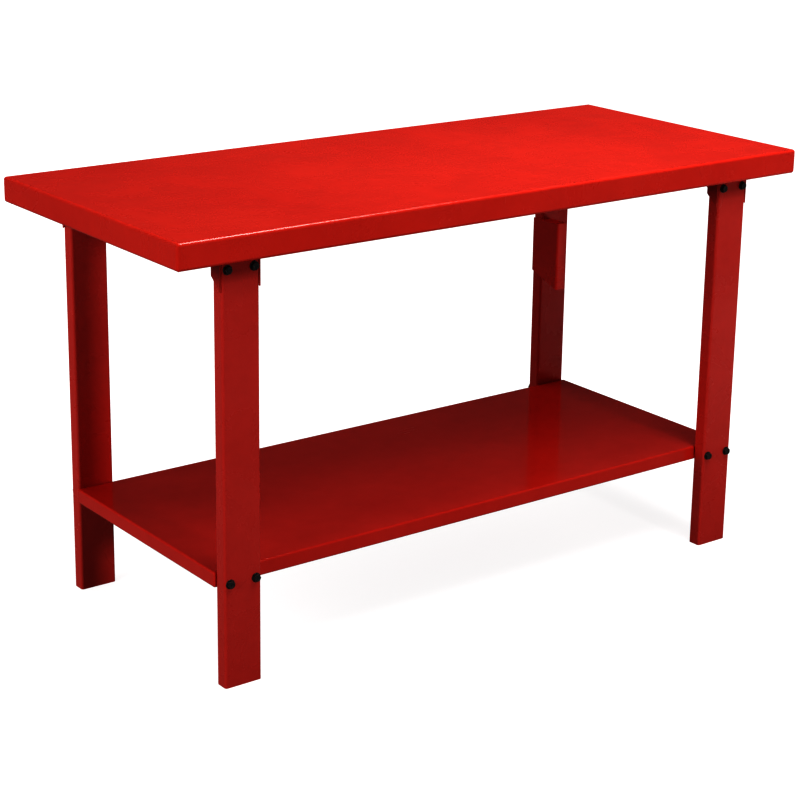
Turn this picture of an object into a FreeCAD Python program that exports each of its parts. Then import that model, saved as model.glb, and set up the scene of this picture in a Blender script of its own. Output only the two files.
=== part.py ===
import FreeCAD, Part
import os
import Sketcher

doc = FreeCAD.newDocument("workbench")

# Driving sizes in millimetres
values = {
    "bench_length": 1500,        # worktop, left to right
    "bench_depth": 650,          # worktop, front to back
    "bench_height": 860,         # floor to working surface
    "top_sheet": 2,              # worktop sheet
    "top_lip": 50,               # worktop edge, folded down
    "top_return": 16,            # flange turned in at the foot of the lip
    "top_bend": 6,               # outside of the worktop's bends
    "leg_width": 78,             # leg tube, across its face
    "leg_depth": 30,             # leg tube, face to inner side
    "leg_wall": 2.5,             # leg tube wall
    "leg_bend": 5,               # outside of the leg's corners
    "leg_end_inset": 108,        # end of the worktop to the side of the leg
    "leg_face_inset": 35,        # front of the worktop to the face of the leg
    "foot_sheet": 3,             # plate that closes the leg's lower end
    "foot_clearance": 0.3,       # foot plate corner to the corner of the leg
    "bracket_sheet": 3,          # bracket that holds the leg under the worktop
    "bracket_gap": 0.3,          # side of the leg to bracket wing
    "bracket_margin": 12,        # upper bolts to the lower edge of the web
    "bracket_slope": 27,         # fall of the wing's lower edge from the web
    "bracket_wing_inset": 2,     # wing edge behind the face of the leg
    "bracket_bend": 4,           # outside of the bracket's bends
    "bracket_tab": 25,           # tab welded to the worktop
    "shelf_height": 220,         # floor to the top of the shelf
    "shelf_sheet": 1.5,          # shelf sheet
    "shelf_lip": 30,             # shelf edge, folded down
    "shelf_return": 12,          # flange turned in at the foot of the lip
    "shelf_bend": 4,             # outside of the shelf's bends
    "shelf_overhang": 4,         # shelf end past the side of the leg
    "top_rib_width": 40,         # hat rib under the worktop, across its crown
    "top_rib_depth": 25,
    "top_rib_flange": 15,
    "top_rib_sheet": 1.5,
    "top_rib_bend": 3,
    "top_rib_spacing": 120,      # middle rib to its neighbours
    "shelf_rib_width": 32,       # hat rib under the shelf, across its crown
    "shelf_rib_depth": 18,
    "shelf_rib_flange": 12,
    "shelf_rib_sheet": 1.2,
    "shelf_rib_bend": 2.5,
    "shelf_rib_spacing": 90,     # middle of the shelf to each rib
    "rib_end_gap": 14,           # end of a rib to the return flange
    "bolt_diameter": 8,
    "bolt_tail": 2.5,            # end of the bolt past its nut
    "bolt_edge": 11.5,           # side of the leg to the bolt
    "bolt_clearance": 0.3,       # bolt to the bores of washers and nuts, all round
    "hole_clearance": 0.5,       # bolt to the holes in the sheets, all round
    "top_bolt_drop": 67,         # underside of the worktop to the upper bolts
    "head_across": 13,           # hexagon of the bolt head, across flats
    "head_height": 5.3,
    "nut_across": 13,
    "nut_height": 6.5,
    "washer_diameter": 18,
    "washer_sheet": 1.6,
    "accessory_top": 619,        # floor to the top of the bracket on the rear right leg
    "accessory_sheet": 3,
    "accessory_front_drop": 155,  # length of its front edge
    "accessory_rear_drop": 124,  # length of its rear edge
    "accessory_rear_inset": 2,   # rear edge in front of the leg's rear face
    "accessory_reach": 57,       # front of the bracket ahead of the leg
    "accessory_flange": 25,      # width of its two flanges
    "accessory_bend": 5,         # outside of its front bend
    "accessory_gap": 1,          # upper flange to the leg
    "overrun": 5,                # cuts run this far past what they cut
    "edge_tolerance": 0.001,     # edges this close to a plane lie in it
}

dims = doc.addObject("Spreadsheet::Sheet", "dims")
for row, (alias, value) in enumerate(values.items(), start=1):
    dims.set(f"A{row}", alias)
    dims.set(f"B{row}", str(value))
    dims.setAlias(f"B{row}", alias)
doc.recompute()

# Places that several pieces share
top_under = "(dims.bench_height - dims.top_sheet)"
leg_side = "(dims.bench_length / 2 - dims.leg_end_inset)"
leg_centre = f"({leg_side} - dims.leg_width / 2)"
leg_face = "(dims.bench_depth / 2 - dims.leg_face_inset)"
leg_inner_face = f"({leg_face} - dims.leg_depth)"
leg_inner_bend = "(dims.leg_bend - dims.leg_wall)"
shelf_length = f"(2 * ({leg_side} + dims.shelf_overhang))"
shelf_depth = f"(2 * {leg_inner_face})"
shelf_under = "(dims.shelf_height - dims.shelf_sheet)"
bolt_offset = "(dims.leg_width / 2 - dims.bolt_edge)"
top_bolt_height = f"({top_under} - dims.top_bolt_drop)"
shelf_bolt_height = "(dims.shelf_height - dims.shelf_lip / 2)"
bolt_hole = "(dims.bolt_diameter + 2 * dims.hole_clearance)"
bore = "(dims.bolt_diameter + 2 * dims.bolt_clearance)"

# The legs' places: left or right, front or back
corners = {
    "front_left": (-1, -1),
    "front_right": (1, -1),
    "rear_left": (-1, 1),
    "rear_right": (1, 1),
}


# Sketches and features tied to the sizes above
def number(expression):
    return float(dims.evalExpression(expression))


def new_body(label, place=("0", "0", "0"), turn=0):
    body = doc.addObject("PartDesign::Body", label)
    body.Label = label
    body.Placement = FreeCAD.Placement(FreeCAD.Vector(), FreeCAD.Rotation(turn, 0, 0))
    for axis, expression in zip("xyz", place):
        body.setExpression(f"Placement.Base.{axis}", expression)
    return body


def origin_plane(body, role):
    return next(item for item in body.Origin.OriginFeatures if item.Role == role)


def new_sketch(body, role, offset="0"):
    sketch = body.newObject("Sketcher::SketchObject", f"{body.Name}_sketch")
    sketch.AttachmentSupport = [(origin_plane(body, role), "")]
    sketch.MapMode = "FlatFace"
    sketch.setExpression("AttachmentOffset.Base.z", offset)
    return sketch


def tie_point(sketch, edge, point, across, along):
    for kind, expression in (("DistanceX", across), ("DistanceY", along)):
        place = Sketcher.Constraint(kind, -1, 1, edge, point, number(expression))
        sketch.setExpression(f"Constraints[{sketch.addConstraint(place)}]", expression)


def add_outline(sketch, points):
    vectors = [FreeCAD.Vector(number(across), number(along), 0) for across, along in points]
    first = sketch.GeometryCount
    for start, end in zip(vectors, vectors[1:] + vectors[:1]):
        sketch.addGeometry(Part.LineSegment(start, end))
    for index, (across, along) in enumerate(points):
        before = first + (index - 1) % len(points)
        sketch.addConstraint(Sketcher.Constraint("Coincident", before, 2, first + index, 1))
        tie_point(sketch, first + index, 1, across, along)


def add_circle(sketch, across, along, diameter):
    centre = FreeCAD.Vector(number(across), number(along), 0)
    edge = sketch.addGeometry(Part.Circle(centre, FreeCAD.Vector(0, 0, 1), number(diameter) / 2))
    tie_point(sketch, edge, 3, across, along)
    width = sketch.addConstraint(Sketcher.Constraint("Diameter", edge, number(diameter)))
    sketch.setExpression(f"Constraints[{width}]", diameter)


def rectangle(left, right, low, high):
    return [(left, low), (right, low), (right, high), (left, high)]


def centred_rectangle(width, depth):
    return rectangle(f"-{width} / 2", f"{width} / 2", f"-{depth} / 2", f"{depth} / 2")


def hexagon(across, along, flats):
    half = f"{flats} / 2"
    point = f"{flats} / sqrt(3)"
    corners_of_hexagon = [
        ("0", point), (f"-{half}", f"{point} / 2"), (f"-{half}", f"-{point} / 2"),
        ("0", f"-{point}"), (half, f"-{point} / 2"), (half, f"{point} / 2"),
    ]
    return [(f"{across} + ({x})", f"{along} + ({y})") for x, y in corners_of_hexagon]


def extrude(body, kind, sketch, length, backwards=False, both_ways=False):
    before = body.Tip.Shape.Volume if body.Tip else 0
    feature = body.newObject(f"PartDesign::{kind}", f"{body.Name}_{kind.lower()}")
    feature.Profile = sketch
    feature.setExpression("Length", length)
    feature.Reversed = backwards
    feature.SideType = "Symmetric" if both_ways else "One side"
    doc.recompute()
    if (feature.Shape.Volume > before) != (kind == "Pad"):
        raise RuntimeError(f"{feature.Name} has no effect")
    return feature


def round_edges(body, radius, picked):
    base = body.Tip
    names = [f"Edge{index}" for index, edge in enumerate(base.Shape.Edges, start=1) if picked(edge.BoundBox)]
    fillet = body.newObject("PartDesign::Fillet", f"{body.Name}_fillet")
    fillet.Base = (base, names)
    fillet.setExpression("Radius", radius)
    doc.recompute()


def near(value, expression):
    return abs(value - number(expression)) < values["edge_tolerance"]


def upright(box, depth):
    return box.XLength + box.YLength < values["edge_tolerance"] and near(box.YMin, depth)


def lengthways(box, height):
    return box.YLength + box.ZLength < values["edge_tolerance"] and near(box.ZMin, height)


# Trays folded from one sheet, and the ribs under them
def rounded_block(label, length, depth, height, bend, place):
    body = new_body(label, place)
    block = new_sketch(body, "XY_Plane")
    add_outline(block, centred_rectangle(length, depth))
    extrude(body, "Pad", block, height)
    round_edges(body, bend, lambda box: True)
    return body


def folded_tray(label, prefix, length, depth, height):
    sheet, lip = f"dims.{prefix}_sheet", f"dims.{prefix}_lip"
    bend, flange = f"dims.{prefix}_bend", f"dims.{prefix}_return"
    body = rounded_block(label, length, depth, lip, bend, ("0", "0", f"{height} - {lip}"))
    hollow = rounded_block(f"{label}_hollow", f"({length} - 2 * {sheet})", f"({depth} - 2 * {sheet})",
                           f"{lip} - 2 * {sheet}", f"{bend} - {sheet}", ("0", "0", sheet))
    cut = body.newObject("PartDesign::Boolean", f"{label}_cut")
    cut.Type = "Cut"
    cut.setObjects([hollow])
    doc.recompute()
    mouth = new_sketch(body, "XY_Plane", "-dims.overrun")
    add_outline(mouth, centred_rectangle(f"({length} - 2 * {flange})", f"({depth} - 2 * {flange})"))
    extrude(body, "Pocket", mouth, f"dims.overrun + {lip} / 2", backwards=True)
    return body


def hat_rib(label, prefix, length, place):
    sheet, depth = f"dims.{prefix}_sheet", f"dims.{prefix}_depth"
    bend = f"dims.{prefix}_bend"
    wall = f"dims.{prefix}_width / 2"
    rim = f"({wall} + dims.{prefix}_flange)"
    inside = f"({wall} - {sheet})"
    half_section = [
        (inside, f"-{depth} + {sheet}"), (inside, "0"), (rim, "0"),
        (rim, f"-{sheet}"), (wall, f"-{sheet}"), (wall, f"-{depth}"),
    ]
    other_half = [(f"-({across})", along) for across, along in reversed(half_section)]
    body = new_body(label, place)
    section = new_sketch(body, "YZ_Plane")
    add_outline(section, half_section + other_half)
    extrude(body, "Pad", section, length, both_ways=True)
    round_edges(body, bend, lambda box: lengthways(box, f"-{depth}"))
    round_edges(body, f"{bend} - {sheet}", lambda box: lengthways(box, f"-{depth} + {sheet}"))
    return body


# Pieces at the four corners, each drawn with the leg's face at the front
def corner_body(piece, corner):
    left_right, front_back = corners[corner]
    place = (f"{left_right} * {leg_centre}", f"{front_back} * {leg_face}", "0")
    return new_body(f"{piece}_{corner}", place, turn=90 + 90 * front_back)


def leg_hollow():
    inside = "(dims.leg_width / 2 - dims.leg_wall)"
    return rectangle(f"-{inside}", inside, "dims.leg_wall", "dims.leg_depth - dims.leg_wall")


def leg_corners(inset):
    return lambda box: upright(box, inset) or upright(box, f"dims.leg_depth - {inset}")


def leg(corner):
    body = corner_body("leg", corner)
    block = new_sketch(body, "XY_Plane")
    add_outline(block, rectangle("-dims.leg_width / 2", "dims.leg_width / 2", "0", "dims.leg_depth"))
    extrude(body, "Pad", block, top_under)
    hollow = new_sketch(body, "XY_Plane", "-dims.overrun")
    add_outline(hollow, leg_hollow())
    extrude(body, "Pocket", hollow, f"{top_under} + 2 * dims.overrun", backwards=True)
    round_edges(body, "dims.leg_bend", leg_corners("0"))
    round_edges(body, leg_inner_bend, leg_corners("dims.leg_wall"))
    holes = new_sketch(body, "XZ_Plane")
    for side in (-1, 1):
        for height in (top_bolt_height, shelf_bolt_height):
            add_circle(holes, f"{side} * {bolt_offset}", height, bolt_hole)
    extrude(body, "Pocket", holes, "dims.leg_depth + dims.overrun")
    return body


def foot_plate(corner):
    body = corner_body("foot_plate", corner)
    plate = new_sketch(body, "XY_Plane")
    add_outline(plate, leg_hollow())
    extrude(body, "Pad", plate, "dims.foot_sheet")
    round_edges(body, f"{leg_inner_bend} + dims.foot_clearance", leg_corners("dims.leg_wall"))
    return body


def leg_bracket(corner):
    inside = "(dims.leg_width / 2 + dims.bracket_gap)"
    outside = f"({inside} + dims.bracket_sheet)"
    web = "(dims.leg_depth + dims.bracket_sheet)"
    height = "(dims.top_bolt_drop + dims.bracket_margin + dims.bracket_slope)"
    foot = f"({top_under} - {height})"
    body = corner_body("leg_bracket", corner)
    block = new_sketch(body, "XY_Plane", foot)
    add_outline(block, rectangle(f"-{outside}", outside, "dims.bracket_wing_inset", web))
    extrude(body, "Pad", block, height)
    socket = new_sketch(body, "XY_Plane", f"{foot} - dims.overrun")
    add_outline(socket, rectangle(f"-{inside}", inside, "-dims.overrun", "dims.leg_depth"))
    extrude(body, "Pocket", socket, f"{height} + 2 * dims.overrun", backwards=True)
    round_edges(body, "dims.bracket_bend", lambda box: upright(box, web))
    slope = new_sketch(body, "YZ_Plane")
    add_outline(slope, [("dims.bracket_wing_inset", foot), (web, f"{foot} - dims.overrun"),
                        (web, f"{foot} + dims.bracket_slope")])
    extrude(body, "Pocket", slope, f"2 * {outside} + dims.overrun", both_ways=True)
    tab = new_sketch(body, "XY_Plane", f"{top_under} - dims.bracket_sheet")
    add_outline(tab, rectangle(f"-{inside}", inside, "dims.leg_depth", f"{web} + dims.bracket_tab"))
    extrude(body, "Pad", tab, "dims.bracket_sheet")
    holes = new_sketch(body, "XZ_Plane")
    for side in (-1, 1):
        add_circle(holes, f"{side} * {bolt_offset}", top_bolt_height, bolt_hole)
    extrude(body, "Pocket", holes, f"{web} + dims.overrun")
    return body


# Bolts, washers and nuts: the front ones are drawn and mirrored to the rear
def bolt_sites(height):
    return [(f"{leg_sign} * {leg_centre} + {side} * {bolt_offset}", height)
            for leg_sign in (-1, 1) for side in (-1, 1)]


def mirror_to_rear(body, features):
    mirror = body.newObject("PartDesign::Mirrored", f"{body.Name}_mirrored")
    mirror.Originals = features
    mirror.MirrorPlane = (origin_plane(body, "XZ_Plane"), [""])
    body.Tip = mirror
    doc.recompute()
    return body


def bolts(label, height, nut_seat):
    seat = f"({leg_face} + dims.washer_sheet)"
    length = f"{seat} - {nut_seat} + dims.nut_height + dims.bolt_tail"
    body = new_body(label)
    heads = new_sketch(body, "XZ_Plane", seat)
    shanks = new_sketch(body, "XZ_Plane", seat)
    for across, along in bolt_sites(height):
        add_outline(heads, hexagon(across, along, "dims.head_across"))
        add_circle(shanks, across, along, "dims.bolt_diameter")
    head = extrude(body, "Pad", heads, "dims.head_height")
    shank = extrude(body, "Pad", shanks, length, backwards=True)
    return mirror_to_rear(body, [head, shank])


def washers(label, height, seat, inwards):
    body = new_body(label)
    rings = new_sketch(body, "XZ_Plane", seat)
    for across, along in bolt_sites(height):
        add_circle(rings, across, along, "dims.washer_diameter")
        add_circle(rings, across, along, bore)
    return mirror_to_rear(body, [extrude(body, "Pad", rings, "dims.washer_sheet", backwards=inwards)])


def nuts(label, height, seat):
    body = new_body(label)
    blanks = new_sketch(body, "XZ_Plane", seat)
    for across, along in bolt_sites(height):
        add_outline(blanks, hexagon(across, along, "dims.nut_across"))
        add_circle(blanks, across, along, bore)
    return mirror_to_rear(body, [extrude(body, "Pad", blanks, "dims.nut_height", backwards=True)])


def fasteners(prefix, height, inner_seat):
    nut_seat = f"({inner_seat} - dims.washer_sheet)"
    return [
        bolts(f"{prefix}_bolts", height, nut_seat),
        washers(f"{prefix}_head_washers", height, leg_face, inwards=False),
        washers(f"{prefix}_nut_washers", height, inner_seat, inwards=True),
        nuts(f"{prefix}_nuts", height, nut_seat),
    ]


# Folded plate with two flanges on the inner side of the rear right leg
def accessory_bracket():
    sheet, top, front = "dims.accessory_sheet", "dims.accessory_top", "-dims.accessory_reach"
    rear = "dims.leg_depth - dims.accessory_rear_inset"
    foot = f"({top} - dims.accessory_front_drop)"
    rear_foot = f"{top} - dims.accessory_rear_drop"
    flange_end = f"dims.accessory_flange - {sheet}"
    body = new_body("accessory_bracket", (f"{leg_centre} - dims.leg_width / 2", leg_inner_face, "0"))
    plate = new_sketch(body, "YZ_Plane")
    add_outline(plate, [(front, foot), (rear, rear_foot), (rear, top), (front, top)])
    extrude(body, "Pad", plate, sheet, backwards=True)
    front_flange = new_sketch(body, "XY_Plane", foot)
    add_outline(front_flange, rectangle(f"-{sheet}", flange_end, front, f"{front} + {sheet}"))
    extrude(body, "Pad", front_flange, "dims.accessory_front_drop")
    round_edges(body, "dims.accessory_bend",
                lambda box: upright(box, front) and near(box.XMin, f"-{sheet}"))
    top_flange = new_sketch(body, "XY_Plane", f"{top} - {sheet}")
    add_outline(top_flange, rectangle("0", flange_end, f"{front} + {sheet}", "-dims.accessory_gap"))
    extrude(body, "Pad", top_flange, sheet)
    return body


# Worktop and its ribs
sub_parts = [folded_tray("worktop", "top", "dims.bench_length", "dims.bench_depth", "dims.bench_height")]
top_rib_length = "dims.bench_length - 2 * (dims.top_return + dims.rib_end_gap)"
for name, sign in (("front", -1), ("middle", 0), ("rear", 1)):
    place = ("0", f"{sign} * dims.top_rib_spacing", top_under)
    sub_parts.append(hat_rib(f"worktop_rib_{name}", "top_rib", top_rib_length, place))

# Legs, with their feet and brackets
for corner in corners:
    sub_parts += [leg(corner), foot_plate(corner), leg_bracket(corner)]

# Shelf, with bolt holes through both long lips, and its ribs
shelf = folded_tray("lower_shelf", "shelf", shelf_length, shelf_depth, "dims.shelf_height")
shelf_holes = new_sketch(shelf, "XZ_Plane")
for across, along in bolt_sites("dims.shelf_lip / 2"):
    add_circle(shelf_holes, across, along, bolt_hole)
extrude(shelf, "Pocket", shelf_holes, f"{shelf_depth} + dims.overrun", both_ways=True)
sub_parts.append(shelf)
shelf_rib_length = f"{shelf_length} - 2 * (dims.shelf_return + dims.rib_end_gap)"
for name, sign in (("front", -1), ("rear", 1)):
    place = ("0", f"{sign} * dims.shelf_rib_spacing", shelf_under)
    sub_parts.append(hat_rib(f"shelf_rib_{name}", "shelf_rib", shelf_rib_length, place))

# Bolts, washers and nuts
sub_parts += fasteners("top", top_bolt_height, f"({leg_inner_face} - dims.bracket_sheet)")
sub_parts += fasteners("shelf", shelf_bolt_height, f"({leg_inner_face} - dims.shelf_sheet)")

sub_parts.append(accessory_bracket())

doc.recompute()
failed = [item.Name for item in doc.Objects if "Invalid" in item.State or "Error" in item.State]
failed += [part.Label for part in sub_parts if part.Shape.isNull() or not part.Shape.isValid()]
if failed:
    raise RuntimeError(f"not built: {failed}")

os.makedirs("parts", exist_ok=True)
for part in sub_parts:
    part.Shape.exportStep(f"parts/{part.Label}.step")
    print(part.Label, len(part.Shape.Solids), "solids", round(part.Shape.Volume), "mm3")
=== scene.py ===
import math
import random

import bmesh
import bpy
from mathutils import Matrix, Vector


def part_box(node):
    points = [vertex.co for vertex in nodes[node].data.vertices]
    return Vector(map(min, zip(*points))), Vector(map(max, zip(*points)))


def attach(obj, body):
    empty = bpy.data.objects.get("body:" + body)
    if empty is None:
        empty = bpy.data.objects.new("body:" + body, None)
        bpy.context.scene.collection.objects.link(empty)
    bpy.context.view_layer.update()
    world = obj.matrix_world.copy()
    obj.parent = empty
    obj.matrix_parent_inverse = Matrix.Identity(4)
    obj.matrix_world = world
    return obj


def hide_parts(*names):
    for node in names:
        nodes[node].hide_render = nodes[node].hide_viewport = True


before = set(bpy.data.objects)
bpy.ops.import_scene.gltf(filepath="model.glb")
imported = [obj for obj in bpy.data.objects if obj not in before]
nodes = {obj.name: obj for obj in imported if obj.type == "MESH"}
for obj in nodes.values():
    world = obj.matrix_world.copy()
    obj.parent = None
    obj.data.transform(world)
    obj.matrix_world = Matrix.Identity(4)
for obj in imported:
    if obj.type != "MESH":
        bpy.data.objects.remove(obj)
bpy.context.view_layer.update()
scene = bpy.context.scene
print("frame loaded:", len(nodes), "CAD nodes")


# Camera at the photo's angle
cameraSetup = {
    "place": (-2.4304, -3.1798, 1.6775),
    "yaw": 0.6451,    # turned right of straight ahead
    "pitch": 0.2791,  # tipped down
    "roll": 0.0146,
    "lens": 91.41,
    "sensor": 36.0,
    "shiftY": -0.1,
    "clip": (0.05, 300.0),
    "look": "Very High Contrast",  # the deep, saturated print of a catalogue picture
}


def makeCamera(setup):
    data = bpy.data.cameras.new("benchCamera")
    data.sensor_width = setup["sensor"]
    data.lens = setup["lens"]
    data.shift_y = setup["shiftY"]
    data.clip_start, data.clip_end = setup["clip"]
    data.dof.use_dof = False
    camera = bpy.data.objects.new("benchCamera", data)
    scene.collection.objects.link(camera)
    camera.matrix_world = (
        Matrix.Translation(setup["place"])
        @ Matrix.Rotation(-setup["yaw"], 4, "Z")
        @ Matrix.Rotation(math.pi / 2 - setup["pitch"], 4, "X")
        @ Matrix.Rotation(setup["roll"], 4, "Z")
    )
    scene.camera = camera
    scene.view_settings.view_transform = "Standard"
    scene.view_settings.look = setup["look"]


makeCamera(cameraSetup)
print("camera set")


# Small helpers for node trees
def addNode(tree, kind, options=None, values=None):
    made = tree.nodes.new("ShaderNode" + kind)
    for option, choice in (options or {}).items():
        setattr(made, option, choice)
    for socket, value in (values or {}).items():
        made.inputs[socket].default_value = value
    return made


def link(tree, source, target):
    tree.links.new(source, target)


def newMaterial(name):
    material = bpy.data.materials.new(name)
    material.use_nodes = True
    tree = material.node_tree
    tree.nodes.clear()
    return material, tree


def noise(tree, place, scale, detail=2.0, roughness=0.5, distortion=0.0):
    made = addNode(tree, "TexNoise", {"noise_dimensions": "3D"}, {
        "Scale": scale, "Detail": detail, "Roughness": roughness, "Distortion": distortion})
    link(tree, place, made.inputs["Vector"])
    return made.outputs["Fac"]


def spread(tree, value, low, high, toLow=0.0, toHigh=1.0):
    made = addNode(tree, "MapRange", {"clamp": True}, {
        "From Min": low, "From Max": high, "To Min": toLow, "To Max": toHigh})
    link(tree, value, made.inputs["Value"])
    return made.outputs["Result"]


def patches(tree, place, s, finer=1.0, to=None):  # noise stretched to the contrast that s gives
    value = noise(
        tree, place, s["scale"] * finer, s["detail"], s.get("roughness", 0.5), s.get("distortion", 0.0))
    return spread(tree, value, *s["from"], *(to or s.get("to", (0.0, 1.0))))


def times(tree, first, second):
    made = addNode(tree, "Math", {"operation": "MULTIPLY"})
    for socket, value in zip(made.inputs, (first, second)):
        if isinstance(value, float):
            socket.default_value = value
        else:
            link(tree, value, socket)
    return made.outputs["Value"]


def plus(tree, first, second):
    made = addNode(tree, "Math", {"operation": "ADD"})
    link(tree, first, made.inputs[0])
    link(tree, second, made.inputs[1])
    return made.outputs["Value"]


def blendColour(tree, factor, first, second, mode="MIX"):
    made = addNode(tree, "Mix", {"data_type": "RGBA", "blend_type": mode})
    sockets = (made.inputs[0], made.inputs[6], made.inputs[7])  # the factor and the two colours
    for socket, value in zip(sockets, (factor, first, second)):
        if isinstance(value, float):
            socket.default_value = value
        elif isinstance(value, tuple):
            socket.default_value = (*value, 1.0)
        else:
            link(tree, value, socket)
    return made.outputs[2]


def edgeMask(tree, s):  # 1 along folded and cut edges, 0 on the flats
    rounded = addNode(tree, "Bevel", {"samples": s["samples"]}, {"Radius": s["radius"]})
    flat = addNode(tree, "NewGeometry")
    dot = addNode(tree, "VectorMath", {"operation": "DOT_PRODUCT"})
    link(tree, rounded.outputs["Normal"], dot.inputs[0])
    link(tree, flat.outputs["Normal"], dot.inputs[1])
    return spread(tree, dot.outputs["Value"], *s["from"])


def softArris(tree, s):
    return addNode(tree, "Bevel", {"samples": s["samples"]}, {"Radius": s["radius"]}).outputs["Normal"]


def bump(tree, height, normal, distance, strength=1.0, invert=False):
    made = addNode(tree, "Bump", {"invert": invert}, {"Strength": strength, "Distance": distance})
    link(tree, height, made.inputs["Height"])
    link(tree, normal, made.inputs["Normal"])
    return made.outputs["Normal"]


def hairlines(tree, place, s):  # sparse straight rub marks
    turned = addNode(tree, "Mapping", {"vector_type": "POINT"}, {
        "Rotation": (0.0, 0.0, math.radians(s["turn"])),
        "Scale": (s["stretch"], s["fineness"], s["stretch"])})
    link(tree, place, turned.inputs["Vector"])
    return spread(tree, noise(tree, turned.outputs["Vector"], 1.0), *s["from"])


def heightOf(tree, vector):
    axes = addNode(tree, "SeparateXYZ")
    link(tree, vector, axes.inputs["Vector"])
    return axes.outputs["Z"]


# Red enamel: the numbers that differ between the kinds of piece
enamelLooks = {
    "worktop_enamel": {
        "deep": (0.610, 0.030, 0.018), "bright": (0.672, 0.038, 0.022), "cloud": 2.6,
        "roughness": 0.26, "specular": 0.40, "coat": 0.14, "coatRoughness": 0.10,
        "peel": 0.00005, "wave": 0.0010, "rub": 0.40, "wear": 0.30,
    },
    "shelf_enamel": {
        "deep": (0.612, 0.033, 0.022), "bright": (0.678, 0.042, 0.028), "cloud": 2.9,
        "roughness": 0.16, "specular": 0.50, "coat": 0.45, "coatRoughness": 0.05,
        "peel": 0.00003, "wave": 0.0007, "rub": 0.40, "wear": 0.30,
    },
    "leg_enamel": {
        "deep": (0.575, 0.045, 0.034), "bright": (0.640, 0.053, 0.041), "cloud": 4.2,
        "roughness": 0.27, "specular": 0.40, "coat": 0.20, "coatRoughness": 0.08,
        "peel": 0.00005, "wave": 0.0004, "rub": 0.25, "wear": 0.40,
        "underLipShade": (0.766, 0.786, 1.0, 0.56),  # two heights and the shade at each: painted shadow of the worktop's lip, dark just under it
    },
    "bracket_enamel": {
        "deep": (0.560, 0.040, 0.029), "bright": (0.620, 0.047, 0.034), "cloud": 9.0,
        "roughness": 0.30, "specular": 0.40, "coat": 0.15, "coatRoughness": 0.08,
        "peel": 0.00006, "wave": 0.0002, "rub": 0.20, "wear": 0.45,
        # painted shadow of the worktop's lip on the bracket wings
        "underLipShade": (0.752, 0.786, 1.0, 0.55),
    },
    "rib_enamel": {
        "deep": (0.485, 0.018, 0.011), "bright": (0.545, 0.024, 0.014), "cloud": 5.0,
        "roughness": 0.38, "specular": 0.35, "coat": 0.10, "coatRoughness": 0.12,
        "peel": 0.00008, "wave": 0.0003, "rub": 0.10, "wear": 0.35,
    },
}

# What all the enamel shares; clouds and mottle are scaled by the look's own cloud
enamelRecipe = {
    "clouds": {"scale": 1.0, "detail": 3.0, "roughness": 0.55, "from": (0.30, 0.70)},
    "mottle": {"scale": 9.0, "detail": 4.0, "roughness": 0.6, "from": (0.25, 0.75), "to": (0.95, 1.03)},
    "grain": {"scale": 1300.0, "detail": 1.0, "from": (0.30, 0.70), "to": (0.97, 1.025)},
    "edge": {"samples": 6, "radius": 0.0016, "from": (0.995, 0.90)},
    "broken": {"scale": 60.0, "detail": 4.0, "roughness": 0.65, "from": (0.42, 0.68)},
    "thinPaint": (0.80, 0.050, 0.030),
    "specks": {"scale": 420.0, "detail": 2.0, "from": (0.70, 0.74)},
    "chipped": (0.055, 0.045, 0.042),
    "corner": {"samples": 4, "reach": 0.022, "from": (0.75, 0.25)},
    "dust": {"scale": 35.0, "detail": 5.0, "roughness": 0.6, "from": (0.35, 0.75), "to": (0.05, 0.45)},
    # colour of the dirt and of the painted corner shade
    "dirtAndCornerShade": (0.060, 0.010, 0.008),
    "upward": (0.90, 0.99),
    "rubsAlong": {"turn": 14.0, "stretch": 2.2, "fineness": 420.0, "from": (0.66, 0.71)},
    "rubsAcross": {"turn": -38.0, "stretch": 3.0, "fineness": 520.0, "from": (0.67, 0.72)},
    "rubbed": {"scale": 3.4, "detail": 2.0, "from": (0.45, 0.62)},
    "smear": {"scale": 8.0, "detail": 5.0, "roughness": 0.62, "distortion": 0.6, "from": (0.30, 0.72)},
    "smearGloss": 0.05, "smearDull": 0.07, "rubDull": 0.18, "dirtDull": 0.5,
    "arris": {"samples": 4, "radius": 0.0006},
    "waveScale": 3.1, "waveDetail": 1.0, "peelScale": 230.0, "peelDetail": 1.5,
    "scoreDepth": 0.00004, "scoreStrength": 0.6,
}


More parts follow.
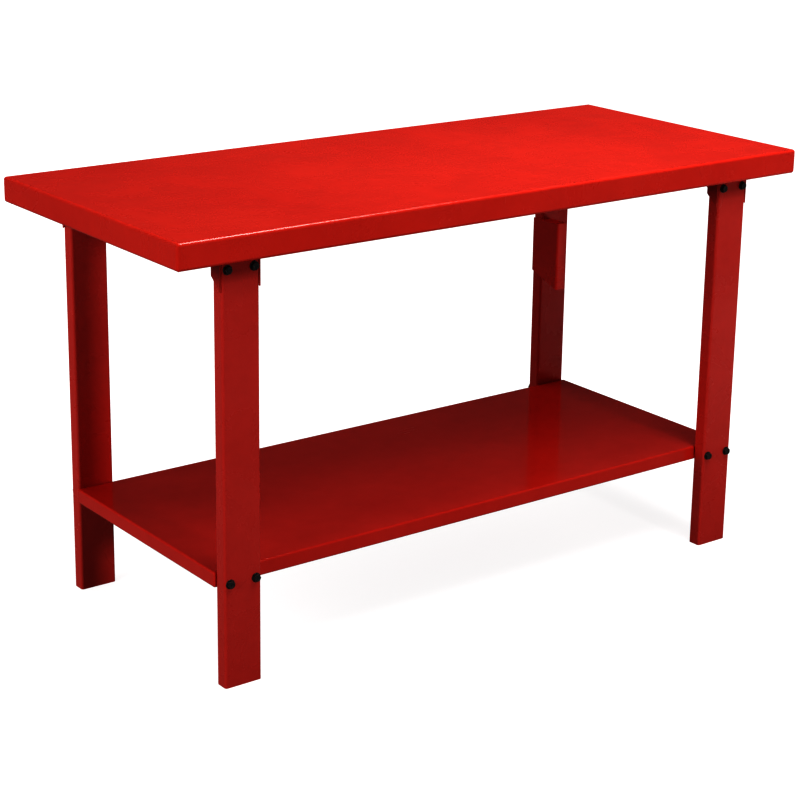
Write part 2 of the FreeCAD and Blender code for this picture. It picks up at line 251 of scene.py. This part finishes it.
def redEnamel(name, look, s):
    material, tree = newMaterial(name)
    place = addNode(tree, "TexCoord").outputs["Object"]

    # pigment: slow clouds, finer mottling and a faint grain
    clouds = patches(tree, place, s["clouds"], look["cloud"])
    colour = blendColour(tree, clouds, look["deep"], look["bright"])
    mottle = patches(tree, place, s["mottle"], look["cloud"])
    colour = blendColour(tree, 1.0, colour, mottle, "MULTIPLY")
    colour = blendColour(tree, 1.0, colour, patches(tree, place, s["grain"]), "MULTIPLY")

    # the coat pulls thin over the edges, and is chipped there in a few specks
    edge = edgeMask(tree, s["edge"])
    thin = times(tree, edge, times(tree, patches(tree, place, s["broken"]), look["wear"]))
    colour = blendColour(tree, thin, colour, s["thinPaint"])
    chips = times(tree, times(tree, edge, patches(tree, place, s["specks"])), look["wear"])
    colour = blendColour(tree, chips, colour, s["chipped"])

    # dust and shop dirt where pieces meet, with painted shade: the dark colour follows ambient occlusion
    # into the corners
    corner = addNode(tree, "AmbientOcclusion", {
        "samples": s["corner"]["samples"], "only_local": False}, {"Distance": s["corner"]["reach"]})
    cornerShade = spread(tree, corner.outputs["AO"], *s["corner"]["from"])
    dirtAndCornerShade = times(tree, cornerShade, patches(tree, place, s["dust"]))
    colour = blendColour(tree, dirtAndCornerShade, colour, s["dirtAndCornerShade"])
    # painted shade: colour darkened in a band just under the worktop's lip, standing in for the lip's
    # shadow
    if "underLipShade" in look:
        underLipShade = spread(tree, heightOf(tree, place), *look["underLipShade"])
        colour = blendColour(tree, 1.0, colour, underLipShade, "MULTIPLY")

    # rub marks lie on the faces that look up
    upward = spread(tree, heightOf(tree, addNode(tree, "NewGeometry").outputs["Normal"]), *s["upward"])
    marks = plus(tree, hairlines(tree, place, s["rubsAlong"]), hairlines(tree, place, s["rubsAcross"]))
    marks = times(tree, marks, patches(tree, place, s["rubbed"]))
    rubs = times(tree, marks, times(tree, upward, look["rub"]))

    # gloss: hand smears, rub marks and the dirty, shaded corners are duller
    gloss = (look["roughness"] - s["smearGloss"], look["roughness"] + s["smearDull"])
    smear = patches(tree, place, s["smear"], to=gloss)
    marred = plus(tree, times(tree, rubs, s["rubDull"]), times(tree, dirtAndCornerShade, s["dirtDull"]))
    dull = plus(tree, smear, marred)

    # surface: softened arrises, slow sheet waves, then orange peel with the rub marks cut in
    waves = noise(tree, place, s["waveScale"], s["waveDetail"])
    sheet = bump(tree, waves, softArris(tree, s["arris"]), look["wave"])
    peel = bump(tree, noise(tree, place, s["peelScale"], s["peelDetail"]), sheet, look["peel"])
    scored = bump(tree, rubs, peel, s["scoreDepth"], s["scoreStrength"], True)

    shader = addNode(tree, "BsdfPrincipled", None, {
        "Metallic": 0.0, "IOR": 1.5, "Specular IOR Level": look["specular"],
        "Coat Weight": look["coat"], "Coat Roughness": look["coatRoughness"]})
    link(tree, colour, shader.inputs["Base Color"])
    link(tree, dull, shader.inputs["Roughness"])
    link(tree, scored, shader.inputs["Normal"])
    link(tree, sheet, shader.inputs["Coat Normal"])
    output = addNode(tree, "OutputMaterial")
    link(tree, shader.outputs["BSDF"], output.inputs["Surface"])
    return material


# Black oxide on the fasteners
blackLook = {
    "low": (0.028, 0.026, 0.026), "high": (0.066, 0.062, 0.060),
    "bloom": {"scale": 260.0, "detail": 4.0, "roughness": 0.6, "from": (0.30, 0.70)},
    "rust": {"scale": 520.0, "detail": 3.0, "from": (0.66, 0.76), "to": (0.0, 0.35)},
    "rustColour": (0.050, 0.018, 0.008),
    "edge": {"samples": 6, "radius": 0.0005, "from": (0.995, 0.92)},
    "worn": {"scale": 900.0, "detail": 3.0, "from": (0.40, 0.65), "to": (0.0, 0.7)},
    "bare": (0.26, 0.25, 0.24),
    "gloss": {"scale": 420.0, "detail": 4.0, "from": (0.30, 0.70), "to": (0.26, 0.48)},
    "arris": {"samples": 4, "radius": 0.0002},
    "gritScale": 2600.0, "gritDepth": 0.00003, "gritStrength": 0.5,
    "metallic": 0.20, "specular": 0.5,
}


def blackOxide(name, look):
    material, tree = newMaterial(name)
    place = addNode(tree, "TexCoord").outputs["Object"]
    colour = blendColour(tree, patches(tree, place, look["bloom"]), look["low"], look["high"])
    colour = blendColour(tree, patches(tree, place, look["rust"]), colour, look["rustColour"])
    worn = times(tree, edgeMask(tree, look["edge"]), patches(tree, place, look["worn"]))
    colour = blendColour(tree, worn, colour, look["bare"])
    grit = noise(tree, place, look["gritScale"])
    surface = bump(tree, grit, softArris(tree, look["arris"]), look["gritDepth"], look["gritStrength"])
    shader = addNode(tree, "BsdfPrincipled", None, {
        "Metallic": look["metallic"], "Specular IOR Level": look["specular"]})
    link(tree, colour, shader.inputs["Base Color"])
    link(tree, patches(tree, place, look["gloss"]), shader.inputs["Roughness"])
    link(tree, surface, shader.inputs["Normal"])
    output = addNode(tree, "OutputMaterial")
    link(tree, shader.outputs["BSDF"], output.inputs["Surface"])
    return material


finishes = {slot: redEnamel(slot + "_paint", look, enamelRecipe) for slot, look in enamelLooks.items()}
finishes["black_fasteners"] = blackOxide("black_fasteners_oxide", blackLook)

for cadNode in nodes.values():
    for cadSlot in cadNode.material_slots:
        cadSlot.material = finishes[cadSlot.material.name.split(".")[0]]
print("finishes made:", ", ".join(sorted(finishes)))


# Small helpers for new pieces
mergeDistance = 1e-7


def meshOf(bm, name):
    bmesh.ops.remove_doubles(bm, verts=bm.verts, dist=mergeDistance)
    bmesh.ops.recalc_face_normals(bm, faces=bm.faces)
    mesh = bpy.data.meshes.new(name)
    bm.to_mesh(mesh)
    bm.free()
    return mesh


def newPiece(name, bm, slot, replaced=()):
    mesh = meshOf(bm, name)
    piece = bpy.data.objects.new(name, mesh)
    scene.collection.objects.link(piece)
    mesh.materials.append(finishes[slot])
    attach(piece, "root")
    if replaced:
        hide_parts(*replaced)


def addCopy(bm, single, matrix):  # a copy of a small mesh, put in its place
    first = len(bm.verts)
    bm.from_mesh(single)
    bm.verts.ensure_lookup_table()
    bmesh.ops.transform(bm, matrix=matrix, verts=bm.verts[first:])


def growRing(bm, edges, place):  # extrudes an open ring and puts its points where place says
    grown = bmesh.ops.extrude_edge_only(bm, edges=edges)["geom"]
    verts = {g for g in grown if isinstance(g, bmesh.types.BMVert)}
    for v in verts:
        v.co = place(v.co)
    return [e for e in {e for v in verts for e in v.link_edges} if set(e.verts) <= verts]


def onCircle(radius, height):
    return lambda co: Vector((co.x, co.y, 0)).normalized() * radius + Vector((0, 0, height))


def chamfered(height, rim, slope):  # the cone that cuts a hexagon's corners
    return lambda co: Vector((co.x, co.y, height + slope * max(0.0, math.hypot(co.x, co.y) - rim)))


def hexRing(bm, across, height, cuts):  # a hexagon with extra points along its flats
    bmesh.ops.create_circle(
        bm, segments=6, radius=across / math.sqrt(3), matrix=Matrix.Translation((0, 0, height)))
    bmesh.ops.subdivide_edges(bm, edges=bm.edges, cuts=cuts)
    return list(bm.edges)


# Hexagon bolts with a chamfered, dished head and a cut thread
boltSizes = {
    "across": 0.0130, "cuts": 7, "head": 0.0053, "rim": 0.0061, "slope": 0.58,
    "dish": 0.0039, "dishDepth": 0.0005, "dishFloorShare": 0.82,
    "shank": 0.0040, "throat": 0.0006,
    "pitch": 0.00125, "crest": 0.00396, "root": 0.00332, "crestShares": (0.42, 0.56),
    "threadLength": 0.022, "overlap": 0.0004, "spareTurns": 2, "steps": 20, "threadMerge": 1e-6,
    "leadIn": 0.0009, "leadTaper": 0.14,
    "spacing": 0.055,  # between the two bolts on a leg
}


def boltHead(s, length):
    bm = bmesh.new()
    base = hexRing(bm, s["across"], 0.0, s["cuts"])
    ring = growRing(bm, base, chamfered(s["head"], s["rim"], -s["slope"]))
    ring = growRing(bm, ring, onCircle(s["rim"], s["head"]))
    ring = growRing(bm, ring, onCircle(s["dish"], s["head"]))
    ring = growRing(bm, ring, onCircle(s["dish"] * s["dishFloorShare"], s["head"] - s["dishDepth"]))
    bmesh.ops.edgeloop_fill(bm, edges=ring)
    ring = growRing(bm, base, onCircle(s["shank"] + s["throat"], 0.0))
    ring = growRing(bm, ring, onCircle(s["shank"], -s["throat"]))
    ring = growRing(bm, ring, onCircle(s["shank"], s["threadLength"] - length))
    bmesh.ops.edgeloop_fill(bm, edges=ring)
    return meshOf(bm, "boltHead")


def boltThread(s, length):  # one tooth swept up a helix, then cut off square
    bm = bmesh.new()
    turns = int(s["threadLength"] / s["pitch"]) + s["spareTurns"]
    bottom = -length - s["pitch"]
    rise, fall = s["crestShares"]
    tooth = [(s["root"], 0.0), (s["crest"], rise), (s["crest"], fall), (s["root"], 1.0)]
    points = [bm.verts.new((r, 0, bottom + up * s["pitch"])) for r, up in tooth]
    sides = [bm.edges.new(pair) for pair in zip(points, points[1:])]
    bmesh.ops.spin(
        bm, geom=points + sides, cent=(0, 0, 0), axis=(0, 0, 1), dvec=(0, 0, s["pitch"] / s["steps"]),
        angle=math.tau * turns, steps=s["steps"] * turns, use_merge=False)
    bmesh.ops.remove_doubles(bm, verts=bm.verts, dist=s["threadMerge"])
    for height, side in ((-length, -1), (s["threadLength"] - length + s["overlap"], 1)):
        cut = bmesh.ops.bisect_plane(
            bm, geom=bm.verts[:] + bm.edges[:] + bm.faces[:], dist=mergeDistance,
            plane_co=(0, 0, height), plane_no=(0, 0, side), clear_outer=True)["geom_cut"]
        bmesh.ops.edgeloop_fill(bm, edges=[g for g in cut if isinstance(g, bmesh.types.BMEdge)])
    for v in bm.verts:  # the lead-in at the tip
        over = max(0.0, s["leadIn"] - (v.co.z + length)) / s["leadIn"]
        v.co.x *= 1 - s["leadTaper"] * over
        v.co.y *= 1 - s["leadTaper"] * over
    return meshOf(bm, "boltThread")


def oneBolt(s, length):
    bm = bmesh.new()
    bm.from_mesh(boltHead(s, length))
    bm.from_mesh(boltThread(s, length))
    return meshOf(bm, "bolt")


# Hexagon nuts, chamfered on both faces
nutSizes = {
    "across": 0.0130, "cuts": 7, "height": 0.0065, "rim": 0.0061, "slope": 0.58,
    "sink": 0.0046, "sinkDepth": 0.0005, "bore": 0.0040,
}


def oneNut(s):
    bm = bmesh.new()
    middle = hexRing(bm, s["across"], s["height"] / 2, s["cuts"])
    bores = []
    for face, inward in ((s["height"], -1), (0.0, 1)):
        ring = growRing(bm, middle, chamfered(face, s["rim"], inward * s["slope"]))
        ring = growRing(bm, ring, onCircle(s["rim"], face))
        ring = growRing(bm, ring, onCircle(s["sink"], face))
        bores += growRing(bm, ring, onCircle(s["bore"], face + inward * s["sinkDepth"]))
    bmesh.ops.bridge_loops(bm, edges=bores)
    return meshOf(bm, "nut")


# Punched washers with rolled edges
washerSizes = {
    "radius": 0.0090, "bore": 0.0043, "height": 0.0016, "soft": 0.00028, "softSteps": 3, "steps": 48,
}


def oneWasher(s):
    bm = bmesh.new()
    corners = [(s["bore"], 0), (s["radius"], 0), (s["radius"], s["height"]), (s["bore"], s["height"])]
    points = [bm.verts.new((r, 0, z)) for r, z in corners]
    bm.faces.new(points)
    bmesh.ops.bevel(
        bm, geom=points, offset=s["soft"], segments=s["softSteps"], profile=0.5,
        affect="VERTICES", material=-1)
    outline = list(bm.edges)
    bmesh.ops.delete(bm, geom=list(bm.faces), context="FACES_ONLY")
    bmesh.ops.spin(
        bm, geom=bm.verts[:] + outline, cent=(0, 0, 0), axis=(0, 0, 1), angle=math.tau,
        steps=s["steps"], use_merge=True)
    return meshOf(bm, "washer")


# The fasteners in their two rows
rowSeeds = {"top": 3, "shelf": 11}


def boltSeats(row, spacing):  # where a row's bolts sit, read from the CAD washers and legs
    low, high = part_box(row + "_head_washers")
    height = (low.z + high.z) / 2
    seats = []
    for side in ("left", "right"):
        legLow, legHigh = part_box("leg_front_" + side)
        centre = (legLow.x + legHigh.x) / 2
        for offset in (-spacing / 2, spacing / 2):
            seats += [(centre + offset, height, facing) for facing in (-1, 1)]
    return seats


def innerFace(nodeName):  # how far a row's inner face is from the bench's middle
    return min(abs(v.co.y) for v in nodes[nodeName].data.vertices)


def placeCopies(single, seats, depth, seed):  # a copy at each seat, turned at random about its own axis
    turns = random.Random(seed)
    bm = bmesh.new()
    for x, z, facing in seats:
        tip = Matrix.Rotation(math.radians(-90 * facing), 4, "X")
        roll = Matrix.Rotation(turns.uniform(0, math.tau), 4, "Z")
        addCopy(bm, single, Matrix.Translation((x, facing * depth, z)) @ tip @ roll)
    return bm


nut = oneNut(nutSizes)
washer = oneWasher(washerSizes)
for row, seed in rowSeeds.items():
    seats = boltSeats(row, boltSizes["spacing"])
    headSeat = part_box(row + "_head_washers")[1].y
    bolt = oneBolt(boltSizes, headSeat - innerFace(row + "_bolts"))
    kinds = (
        ("_bolts", "_cut", bolt, headSeat),
        ("_head_washers", "_punched", washer, innerFace(row + "_head_washers")),
        ("_nut_washers", "_punched", washer, innerFace(row + "_nut_washers")),
        ("_nuts", "_chamfered", nut, innerFace(row + "_nuts")),
    )
    for order, (kind, finish, single, depth) in enumerate(kinds):
        copies = placeCopies(single, seats, depth, seed + order)
        newPiece(row + kind + finish, copies, "black_fasteners", [row + kind])
    print("fasteners made:", row, "row,", len(seats), "bolts")


# Fillet welds, short stitches with a rippled face
weldSizes = {
    "pitch": 0.0020, "sides": 10, "taper": 0.0022, "startShare": 0.35, "endShare": 0.45,
    "swell": 0.06, "ripple": 0.16,
    "climb": ((0.12, -0.5), (0.55, 0.35), (0.95, 0.5)),  # each ripple climbs, then drops to the next
}


def movedRing(old, new, grow):
    return lambda co: new + (co - old) * grow


def weldBead(bm, start, finish, radius, s, chance):
    start, finish = Vector(start), Vector(finish)
    run = finish - start
    turn = run.to_track_quat("Z", "Y").to_matrix().to_4x4()
    last, lastRadius = start, radius * s["startShare"]
    made = bmesh.ops.create_circle(
        bm, segments=s["sides"], radius=lastRadius, matrix=Matrix.Translation(start) @ turn)["verts"]
    firstRing = list({e for v in made for e in v.link_edges})
    ring = firstRing
    ripples = max(2, round(run.length / s["pitch"]))
    for ripple in range(ripples):
        swell = radius * (1 + chance.uniform(-s["swell"], s["swell"]))
        for part, rise in s["climb"]:
            along = (ripple + part) / ripples
            point = start + run * along
            near = min(1.0, min(along, 1 - along) * run.length / s["taper"])
            thick = s["endShare"] + (1 - s["endShare"]) * math.sqrt(near)
            size = swell * thick * (1 + s["ripple"] * rise)
            ring = growRing(bm, ring, movedRing(last, point, size / lastRadius))
            last, lastRadius = point, size
    for end in (firstRing, ring):
        bmesh.ops.edgeloop_fill(bm, edges=end)


# The brackets are stitched to the underside of the worktop
bracketWeldSizes = {
    "radius": 0.0021, "sink": 0.0009, "tabInset": 0.022, "tabHalf": 0.011,
    "wingStart": 0.004, "wingEnd": 0.023, "seed": 21,
}


def bracketWelds(s, bead):
    chance = random.Random(s["seed"])
    bm = bmesh.new()
    for end, way in (("front", -1), ("rear", 1)):
        for side in ("left", "right"):
            low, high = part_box("leg_bracket_" + end + "_" + side)
            tab, out = (low.y, high.y) if way > 0 else (high.y, low.y)  # the inner edge and the outer one
            z = high.z - s["sink"]
            for x in (low.x + s["tabInset"], high.x - s["tabInset"]):
                start = (x - s["tabHalf"], tab, z)
                finish = (x + s["tabHalf"], tab, z)
                weldBead(bm, start, finish, s["radius"], bead, chance)
            for x in (low.x, high.x):
                start = (x, out - way * s["wingStart"], z)
                finish = (x, out - way * s["wingEnd"], z)
                weldBead(bm, start, finish, s["radius"], bead, chance)
    newPiece("bracket_welds", bm, "bracket_enamel")


# Along the accessory plate's rear edge, and in the groove at the leg's rounded corner
accessoryWeldSizes = {
    "heights": (0.508, 0.548, 0.588), "length": 0.022, "radius": 0.0017,
    "rearSink": 0.0002, "grooveIn": 0.0010, "grooveBack": 0.0016, "seed": 23,
}


def accessoryWelds(s, bead):
    chance = random.Random(s["seed"])
    bm = bmesh.new()
    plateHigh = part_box("accessory_bracket")[1]
    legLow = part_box("leg_rear_right")[0]
    rear = (legLow.x, plateHigh.y - s["rearSink"])
    groove = (legLow.x + s["grooveIn"], legLow.y + s["grooveBack"])
    for z in s["heights"]:
        for x, y in (rear, groove):
            weldBead(bm, (x, y, z), (x, y, z + s["length"]), s["radius"], bead, chance)
    newPiece("accessory_welds", bm, "bracket_enamel")


# Ground welds across the corners of the folded returns
mitreWeldSizes = {
    "folds": {"worktop": 0.016, "lower_shelf": 0.012}, "inset": 0.0040, "lift": 0.0009, "radius": 0.0013,
    "seed": 24,
}


def mitreWelds(s, bead):
    chance = random.Random(s["seed"])
    bm = bmesh.new()
    for tray, fold in s["folds"].items():
        low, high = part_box(tray)
        z = low.z + s["lift"]
        for x, y in ((-1, -1), (-1, 1), (1, -1), (1, 1)):
            inner = (x * (high.x - fold), y * (high.y - fold), z)
            outer = (x * (high.x - s["inset"]), y * (high.y - s["inset"]), z)
            weldBead(bm, inner, outer, s["radius"], bead, chance)
    newPiece("mitre_welds", bm, "worktop_enamel")


bracketWelds(bracketWeldSizes, weldSizes)
accessoryWelds(accessoryWeldSizes, weldSizes)
mitreWelds(mitreWeldSizes, weldSizes)
print("welds made")


# Spot welds along the flanges of the ribs, a pressed disc in a raised rim
spotSizes = {
    "profile": (
        (0.0, 0.00010), (0.0019, 0.00014), (0.0025, 0.00046), (0.0031, 0.00034), (0.0037, -0.00006)),
    "steps": 14, "pitch": 0.120, "strayAlong": 0.003, "strayAcross": 0.0008,
}
spotRows = {
    "worktop_rib_spot_welds": {
        "ribs": ("worktop_rib_front", "worktop_rib_middle", "worktop_rib_rear"),
        "flange": 0.015, "sheet": 0.0015, "reach": 0.660, "seed": 31,
    },
    "shelf_rib_spot_welds": {
        "ribs": ("shelf_rib_front", "shelf_rib_rear"),
        "flange": 0.012, "sheet": 0.0012, "reach": 0.600, "seed": 32,
    },
}


def oneSpot(s):
    bm = bmesh.new()
    points = [bm.verts.new((r, 0, z)) for r, z in s["profile"]]
    sides = [bm.edges.new(pair) for pair in zip(points, points[1:])]
    bmesh.ops.spin(
        bm, geom=points + sides, cent=(0, 0, 0), axis=(0, 0, 1), angle=math.tau,
        steps=s["steps"], use_merge=True)
    bmesh.ops.remove_doubles(bm, verts=bm.verts, dist=mergeDistance)
    bmesh.ops.edgeloop_fill(bm, edges=[e for e in bm.edges if e.is_boundary])
    return meshOf(bm, "spotWeld")


def spotWelds(name, row, s):
    chance = random.Random(row["seed"])
    disc = oneSpot(s)
    bm = bmesh.new()
    count = round(2 * row["reach"] / s["pitch"])
    for rib in row["ribs"]:
        low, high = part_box(rib)
        for middle in (low.y + row["flange"] / 2, high.y - row["flange"] / 2):
            for step in range(count + 1):
                x = -row["reach"] + step * s["pitch"] + chance.uniform(-s["strayAlong"], s["strayAlong"])
                y = middle + chance.uniform(-s["strayAcross"], s["strayAcross"])
                roll = Matrix.Rotation(chance.uniform(0, math.tau), 4, "Z")
                down = Matrix.Rotation(math.pi, 4, "X")
                addCopy(bm, disc, Matrix.Translation((x, y, high.z - row["sheet"])) @ down @ roll)
    newPiece(name, bm, "rib_enamel")


for rowName, spotRow in spotRows.items():
    spotWelds(rowName, spotRow, spotSizes)
print("spot welds made")


# Pale floor and surroundings
stageSetup = {
    "floorSize": 60.0, "floorDrop": 0.0004, "floorShade": (0.45, 0.45, 0.45, 1), "white": (1, 1, 1, 1),
    "nearReach": 1.6, "farReach": 5.0, "glowNear": 0.50, "glowFar": 0.64,  # whiter away from the bench
    "glowMirrored": 0.09,  # the enamel mirrors a dimmer floor
    "worldLight": 0.045, "worldSeen": 0.64,
}


def mixShaders(tree, factor, first, second):
    made = addNode(tree, "MixShader")
    for socket, source in zip(made.inputs, (factor, first, second)):
        link(tree, source, socket)
    return made.outputs[0]


def floorPaper(setup):
    material, tree = newMaterial("palePaper")
    away = addNode(tree, "VectorMath", {"operation": "LENGTH"})
    link(tree, addNode(tree, "TexCoord").outputs["Object"], away.inputs[0])
    strength = spread(
        tree, away.outputs["Value"],
        setup["nearReach"], setup["farReach"], setup["glowNear"], setup["glowFar"])
    glow = addNode(tree, "Emission", None, {"Color": setup["white"]})
    link(tree, strength, glow.inputs["Strength"])
    shade = addNode(tree, "BsdfDiffuse", None, {"Color": setup["floorShade"]})
    lit = addNode(tree, "AddShader")
    link(tree, glow.outputs[0], lit.inputs[0])
    link(tree, shade.outputs[0], lit.inputs[1])
    dim = addNode(tree, "Emission", None, {"Color": setup["white"], "Strength": setup["glowMirrored"]})
    mirrored = addNode(tree, "LightPath").outputs["Is Glossy Ray"]
    seen = mixShaders(tree, mirrored, lit.outputs[0], dim.outputs[0])
    link(tree, seen, addNode(tree, "OutputMaterial").inputs["Surface"])
    return material


def makeFloor(setup):
    bm = bmesh.new()
    bmesh.ops.create_grid(
        bm, x_segments=2, y_segments=2, size=setup["floorSize"],
        matrix=Matrix.Translation((0, 0, -setup["floorDrop"])))
    mesh = bpy.data.meshes.new("paleFloor")
    bm.to_mesh(mesh)
    bm.free()
    floor = bpy.data.objects.new("paleFloor", mesh)
    scene.collection.objects.link(floor)
    mesh.materials.append(floorPaper(setup))
    floor.visible_diffuse = False


def makeWorld(setup):
    world = bpy.data.worlds.new("paleStudio")
    scene.world = world
    world.use_nodes = True
    tree = world.node_tree
    tree.nodes.clear()
    light = addNode(tree, "Background", None, {"Color": setup["white"], "Strength": setup["worldLight"]})
    paper = addNode(tree, "Background", None, {"Color": setup["white"], "Strength": setup["worldSeen"]})
    direct = addNode(tree, "LightPath").outputs["Is Camera Ray"]
    seen = mixShaders(tree, direct, light.outputs[0], paper.outputs[0])
    link(tree, seen, addNode(tree, "OutputWorld").inputs["Surface"])


# Soft lamps: one gives the glare, the others are fills, and two are kept off the leg that stands in shade
lamps = {
    "overheadBox": {
        "place": (0.45, -0.30, 2.70), "aim": (0.25, -0.05, 0.86), "size": (0.95, 0.95), "power": 27.5,
        "gloss": True,
    },
    "frontBox": {
        "place": (0.45, -1.50, 2.95), "aim": (0.15, -0.30, 0.40), "size": (1.20, 0.80), "power": 16.0,
    },
    "farFront": {
        "place": (0.00, -12.00, 2.70), "aim": (0.00, 0.00, 0.50), "size": (1.20, 1.20), "power": 310.0,
        "shaded": ("leg_rear_right",),
    },
    "leftPanel": {
        "place": (-5.00, 0.00, 2.00), "aim": (0.00, 0.00, 0.50), "size": (4.00, 2.50), "power": 69.0,
        "shaded": ("leg_rear_right", "accessory_bracket"),
    },
    "leftBox": {
        "place": (-3.20, -0.80, 1.50), "aim": (-0.30, 0.00, 0.50), "size": (1.50, 1.50), "power": 11.0,
    },
    "rightBounce": {
        "place": (2.80, 0.00, 0.002), "aim": (2.80, 0.00, 1.00), "size": (3.50, 4.00), "power": 50.0,
    },
    "rightPanel": {
        "place": (5.00, 0.00, 2.00), "aim": (0.00, 0.00, 0.50), "size": (4.00, 2.50), "power": 18.0,
    },
    "rearPanel": {
        "place": (0.00, 5.00, 0.70), "aim": (0.00, 0.00, 0.50), "size": (4.00, 1.20), "power": 38.0,
    },
    "rearBox": {
        "place": (-2.20, 2.90, 2.40), "aim": (-0.10, 0.10, 0.50), "size": (1.80, 1.20), "power": 13.0,
    },
}


def keepOff(lamp, shaded):
    shade = bpy.data.collections.new(lamp.name + "Shade")
    for nodeName in shaded:
        shade.objects.link(nodes[nodeName])
    for entry in shade.collection_objects:
        entry.light_linking.link_state = "EXCLUDE"
    lamp.light_linking.receiver_collection = shade


def softBox(name, setup):
    data = bpy.data.lights.new(name, "AREA")
    data.shape = "RECTANGLE"
    data.size, data.size_y = setup["size"]
    data.energy = setup["power"]
    lamp = bpy.data.objects.new(name, data)
    scene.collection.objects.link(lamp)
    lamp.visible_glossy = setup.get("gloss", False)
    lamp.visible_camera = False
    if "shaded" in setup:
        keepOff(lamp, setup["shaded"])
    away = Vector(setup["aim"]) - Vector(setup["place"])
    turn = away.to_track_quat("-Z", "Y").to_matrix().to_4x4()
    lamp.matrix_world = Matrix.Translation(setup["place"]) @ turn


makeFloor(stageSetup)
makeWorld(stageSetup)
for lampName, lampSetup in lamps.items():
    softBox(lampName, lampSetup)
print("stage and lights set")
